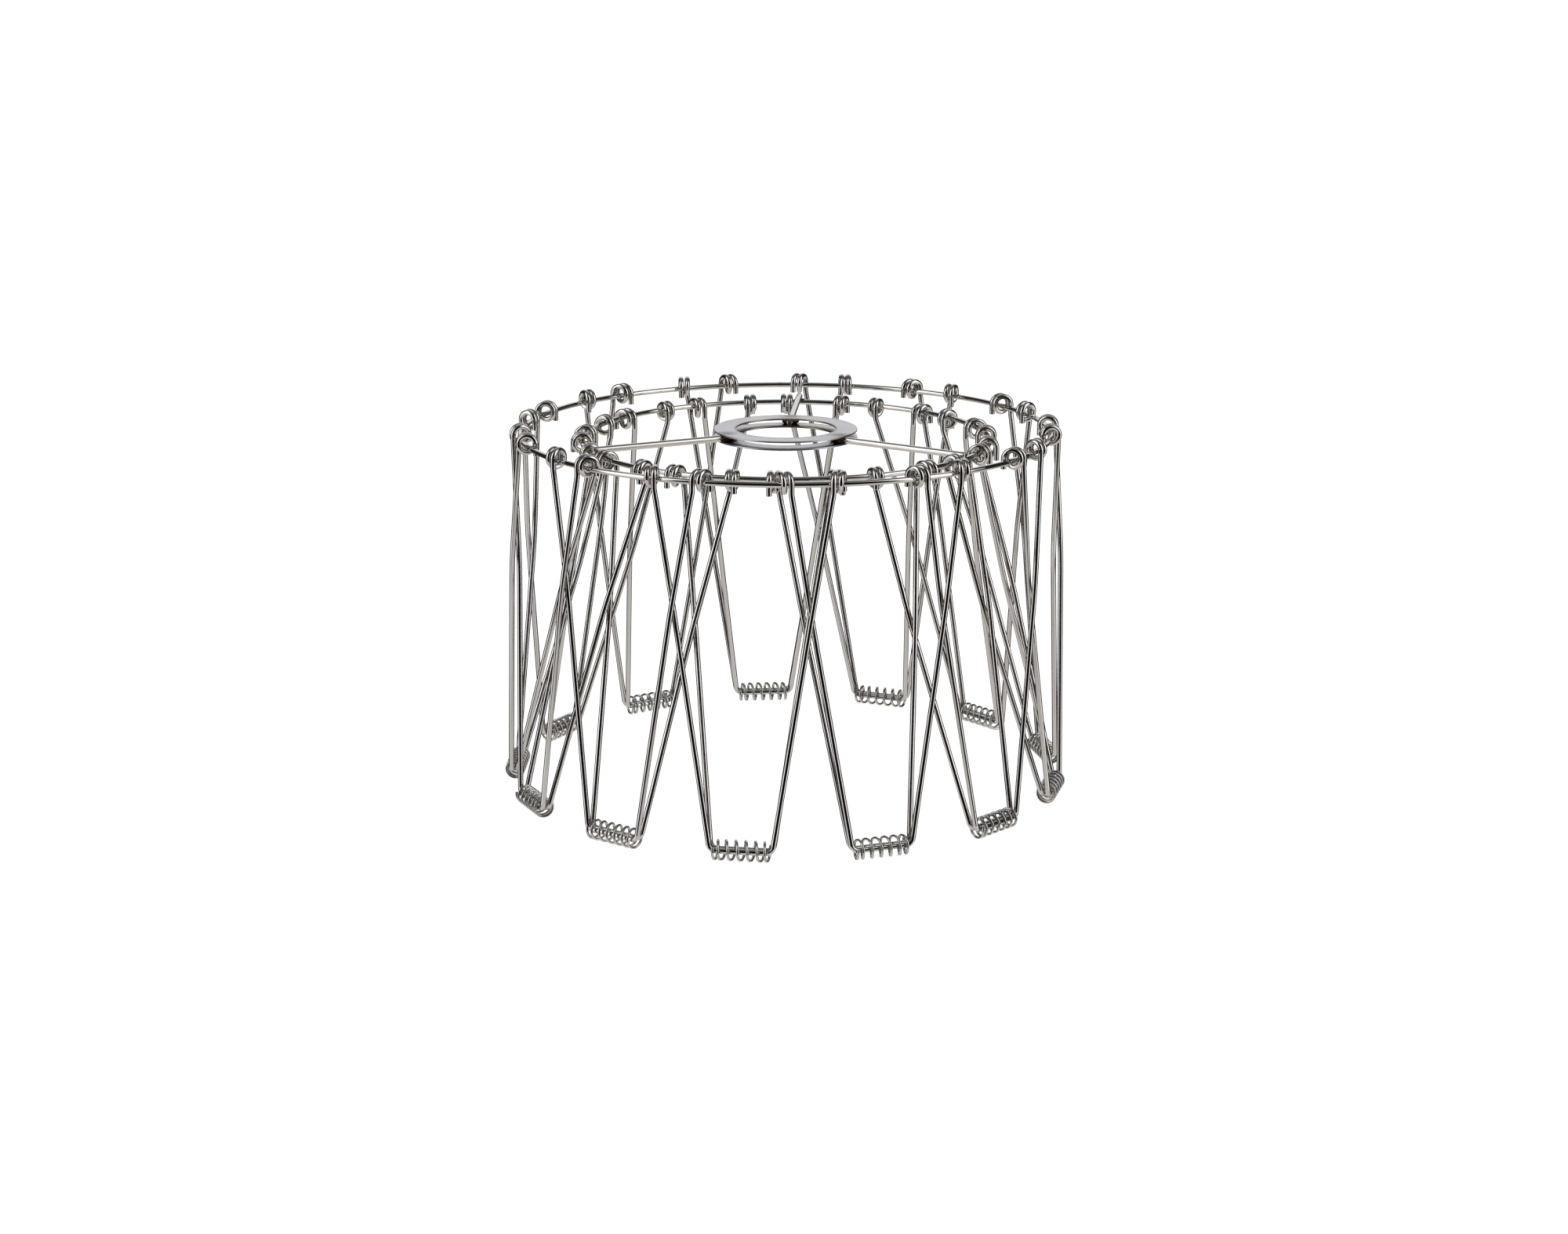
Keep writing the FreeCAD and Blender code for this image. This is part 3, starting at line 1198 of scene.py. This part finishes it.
@dataclass
class SpringWinder:
    """Winds the small springs that hold the two bottom bars of a station together.

    Attributes:
        layout: Where everything stands.
        dress: Their finish.
        wire_mm: Diameter of the wire.
        radius_mm: Mean radius of a turn.
        pitch_mm: Advance of an open turn.
        end_pitch_mm: Advance of a close turn at either end.
        open_turns: Open turns.
        end_turns: Close turns at each end.
        tail_mm: Longest cut end, standing up.
        tail_spread_mm: How much shorter some cut ends are.
        burr_mm: Rounding of a cut end.
    """

    layout: Layout
    dress: Dress
    wire_mm: float = 1.1
    radius_mm: float = 3.7
    pitch_mm: float = 3.9
    end_pitch_mm: float = 2.2
    open_turns: float = 4.5
    end_turns: float = 1
    tail_mm: float = 2.0
    tail_spread_mm: float = 0.9
    burr_mm: float = 0.12

    def steps(self) -> list[float]:
        """How far the wire moves along the spring in each half turn."""
        close = [self.end_pitch_mm * MM / 2] * round(2 * self.end_turns)
        return close + [self.pitch_mm * MM / 2] * round(2 * self.open_turns) + close

    def wind(self, station: int) -> None:
        """Wind one spring.

        Args:
            station: Its place, counted from 0.
        """
        chance = random.Random(f"spring {station}")
        tails = [(self.tail_mm - chance.uniform(0, self.tail_spread_mm)) * MM for _ in Side]
        steps = self.steps()
        along = -sum(steps) / 2
        outward = self.radius_mm * MM
        here = self.point(along, outward)
        wire = Wire(here + UP * tails[0], -UP, self.wire_mm * MM, sides=12, step_deg=11.25)
        wire.straight(here - wire.middle)
        over = -1
        for step in steps:
            along += step
            outward = -outward
            wire.half_turn(self.point(along, outward), over)
            over = -over
        wire.straight(UP * over * tails[1])
        mesh = wire.finish(self.burr_mm * MM)
        heat_metal(mesh, [])
        number = f"{station + 1:02d}"
        turn = self.layout.turn(station)
        name, body, node = f"wound_spring_{number}", f"inner_link_{number}", f"coil_spring_{number}"
        make_piece(name, mesh, body, self.dress, turn, [node])

    def point(self, along: float, outward: float) -> Vector:
        """A point level with the spring's middle, along its axis and out from it."""
        return Vector((along, -(self.layout.spring_circle + outward), self.layout.spring_height))

    def build(self) -> None:
        """Wind a spring for every station."""
        for station in range(self.layout.stations):
            self.wind(station)


# ---- the studio


@dataclass
class Studio:
    """A pale floor, two softboxes, a surround for the reflections, and the camera.

    Attributes:
        ring_height: Height of the outer ring.
        floor_height: Height of the floor.
        floor_half: Half the side of the floor.
        softboxes: Middle of each softbox, by its name.
        softbox_size: Width and height of a softbox.
        softbox_watts: Power of a softbox.
        aim: What the softboxes face.
        lens_mm: The camera's focal length, on a sensor 36 mm wide.
        turn_deg: How far round the shade it stands from the first station.
        pitch_deg: How far it looks down.
        distance: From the camera to the point that it looks at.
        drop: How far below the outer ring that point lies.
        aside: How far the camera stands to one side of its line.
    """

    ring_height: float
    floor_height: float
    floor_half: float = 30.0
    softboxes: tuple[tuple[str, tuple[float, float, float]], ...] = (
        ("left softbox", (-1.15, -0.66, 0.7)),
        ("right softbox", (1.28, -0.32, 0.7)),
    )
    softbox_size: tuple[float, float] = (1.3, 1.6)
    softbox_watts: float = 4.0
    aim: tuple[float, float, float] = (0.0, 0.0, -0.06)
    lens_mm: float = 68.0
    turn_deg: float = 8.69
    pitch_deg: float = 14.44
    distance: float = 1.2586
    drop: float = 0.0805
    aside: float = -0.0007

    def floor(self) -> None:
        """Lay the floor, lit enough to come out as white as paper."""
        mesh = bmesh.new()
        bmesh.ops.create_grid(mesh, x_segments=1, y_segments=1, size=self.floor_half)
        bmesh.ops.translate(mesh, verts=mesh.verts[:], vec=(0, 0, self.floor_height))
        data = bpy.data.meshes.new("studio_floor")
        mesh.to_mesh(data)
        mesh.free()
        floor = bpy.data.objects.new("studio_floor", data)
        bpy.context.scene.collection.objects.link(floor)
        material = new_material("white acrylic light table")
        white = {"Base Color": linear("#f2f2f2"), "Roughness": 0.9, "Specular IOR Level": 0.1}
        glow = {"Emission Color": linear("#ffffff"), "Emission Strength": 0.8}
        board = add_node(material, "ShaderNodeBsdfPrincipled", None, white | glow)
        add_node(material, "ShaderNodeOutputMaterial", None, None, {"Surface": board.outputs[0]})
        data.materials.append(material)
        floor.visible_glossy = False
        floor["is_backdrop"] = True

    def light(self, name: str, place: Vector) -> None:
        """Hang one softbox, facing the shade.

        Args:
            name: Its name.
            place: Its middle.
        """
        data = bpy.data.lights.new(name, "AREA")
        data.shape = "RECTANGLE"
        data.size, data.size_y = self.softbox_size
        data.energy = self.softbox_watts
        lamp = bpy.data.objects.new(name, data)
        lamp.location = place
        towards = Vector(self.aim) - place
        lamp.rotation_euler = towards.to_track_quat("-Z", "Y").to_euler()
        lamp.visible_camera = False
        bpy.context.scene.collection.objects.link(lamp)

    def surround(self) -> None:
        """Paint what the metal reflects; the camera itself sees plain white there."""
        world = bpy.data.worlds.new("studio surround")
        world.use_nodes = True
        world.node_tree.nodes.clear()
        bpy.context.scene.world = world
        direction = add_node(world, "ShaderNodeTexCoord").outputs["Generated"]
        split = add_node(world, "ShaderNodeSeparateXYZ", None, None, {0: direction}).outputs
        angle = {0: split["X"], 1: split["Y"]}
        turn = add_node(world, "ShaderNodeMath", {"operation": "ARCTAN2"}, None, angle).outputs[0]
        whole = {"From Min": -math.pi, "From Max": math.pi}
        share = add_node(world, "ShaderNodeMapRange", None, whole, {"Value": turn}).outputs[0]
        round_about = []
        for stops in (SURROUND, BACKDROP):
            ramp = add_node(world, "ShaderNodeValToRGB", None, None, {"Fac": share})
            set_ramp(ramp, [(place, linear(colour)) for place, colour in stops])
            round_about.append(ramp.outputs["Color"])
        height = {"Value": split["Z"]}
        raised = {"From Min": 0.0, "From Max": BACKDROP_FADE}
        above_level = add_node(world, "ShaderNodeMapRange", None, raised, height).outputs[0]
        added = {"data_type": "RGBA", "blend_type": "ADD"}
        links = {0: above_level, 6: round_about[0], 7: round_about[1]}
        light = add_node(world, "ShaderNodeMix", added, None, links).outputs[2]
        mixed = {"data_type": "RGBA"}
        for colour, start, end in FLOOR_AND_CEILING:
            limits = {"From Min": start, "From Max": end}
            past = add_node(world, "ShaderNodeMapRange", None, limits, height).outputs[0]
            links = {0: past, 6: light}
            light = add_node(world, "ShaderNodeMix", mixed, {7: linear(colour)}, links).outputs[2]
        seen = add_node(world, "ShaderNodeLightPath").outputs["Is Camera Ray"]
        links = {0: seen, 6: light}
        paper = add_node(world, "ShaderNodeMix", mixed, {7: linear("#ffffff")}, links)
        strength = {"Strength": SURROUND_STRENGTH}
        glow = add_node(world, "ShaderNodeBackground", None, strength, {"Color": paper.outputs[2]})
        add_node(world, "ShaderNodeOutputWorld", None, None, {"Surface": glow.outputs[0]})

    def camera(self) -> None:
        """Stand the camera in front of the shade, a little above it."""
        data = bpy.data.cameras.new("camera")
        data.lens = self.lens_mm
        data.sensor_width = 36.0
        data.clip_end = 100.0
        camera = bpy.data.objects.new("camera", data)
        bpy.context.scene.collection.objects.link(camera)
        turn = Matrix.Rotation(math.radians(self.turn_deg), 4, "Z")
        pitch = Matrix.Rotation(math.radians(90 - self.pitch_deg), 4, "X")
        target = Matrix.Translation((0, 0, self.ring_height - self.drop))
        back = Matrix.Translation((self.aside, 0, self.distance))
        camera.matrix_world = target @ turn @ pitch @ back
        bpy.context.scene.camera = camera

    def build(self) -> None:
        """Set the studio up."""
        self.floor()
        self.surround()
        for name, place in self.softboxes:
            self.light(name, Vector(place))
        self.camera()
        bpy.context.scene.view_settings.view_transform = "Standard"


def main() -> None:
    """Build the looks of the whole shade round its frame."""
    logging.basicConfig(level=logging.INFO, format="%(name)s: %(message)s")
    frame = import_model()
    cad_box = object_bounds()
    layout = Layout.read(frame)
    loop_wire = Dress(PlatedWire("chrome-plated loop wire").build(), "loop_wire")
    ring_wire = Dress(PlatedWire("chrome-plated ring wire").build(), "ring_wire")
    spoke_wire = Dress(PlatedWire("chrome-plated spoke rod", roughness=0.14).build(), "spoke_wire")
    spring_wire = Dress(PlatedWire("bright spring wire", tint="#c4c2bf").build(), "spring_wire")
    braze = Dress(BrazeMetal("brazing filler").build(), "spoke_wire")
    spokes = Spokes(layout, spoke_wire, braze)
    turns = spokes.turns()
    # Where the plates are painted brown: brazing stain and painted shade.
    out = BRAZE_STAIN_AND_SHADE_MM * MM
    hot = tuple((out * math.sin(turn), -out * math.cos(turn), 0.0) for turn in turns)
    plate = Dress(SatinPlate("satin nickel plate", layout.hole_radius, hot).build(), "satin_plate")
    Fitter(layout, plate, braze).build(turns)
    spokes.build()
    Ring(layout, Kind.INNER, ring_wire, "welded_frame", (174.7, 191.8), 166.3).build()
    Ring(layout, Kind.OUTER, ring_wire, "hung_ring", (3.8, 25.8, -25.3), 190.2).build()
    LoopBender(layout, Kind.INNER, loop_wire, 14.0, -1).build()
    LoopBender(layout, Kind.OUTER, loop_wire, 10.0, 1).build()
    SpringWinder(layout, spring_wire).build()
    Studio(layout.ring_height[Kind.OUTER], cad_box[0][2]).build()


if __name__ == "__main__":
    main()
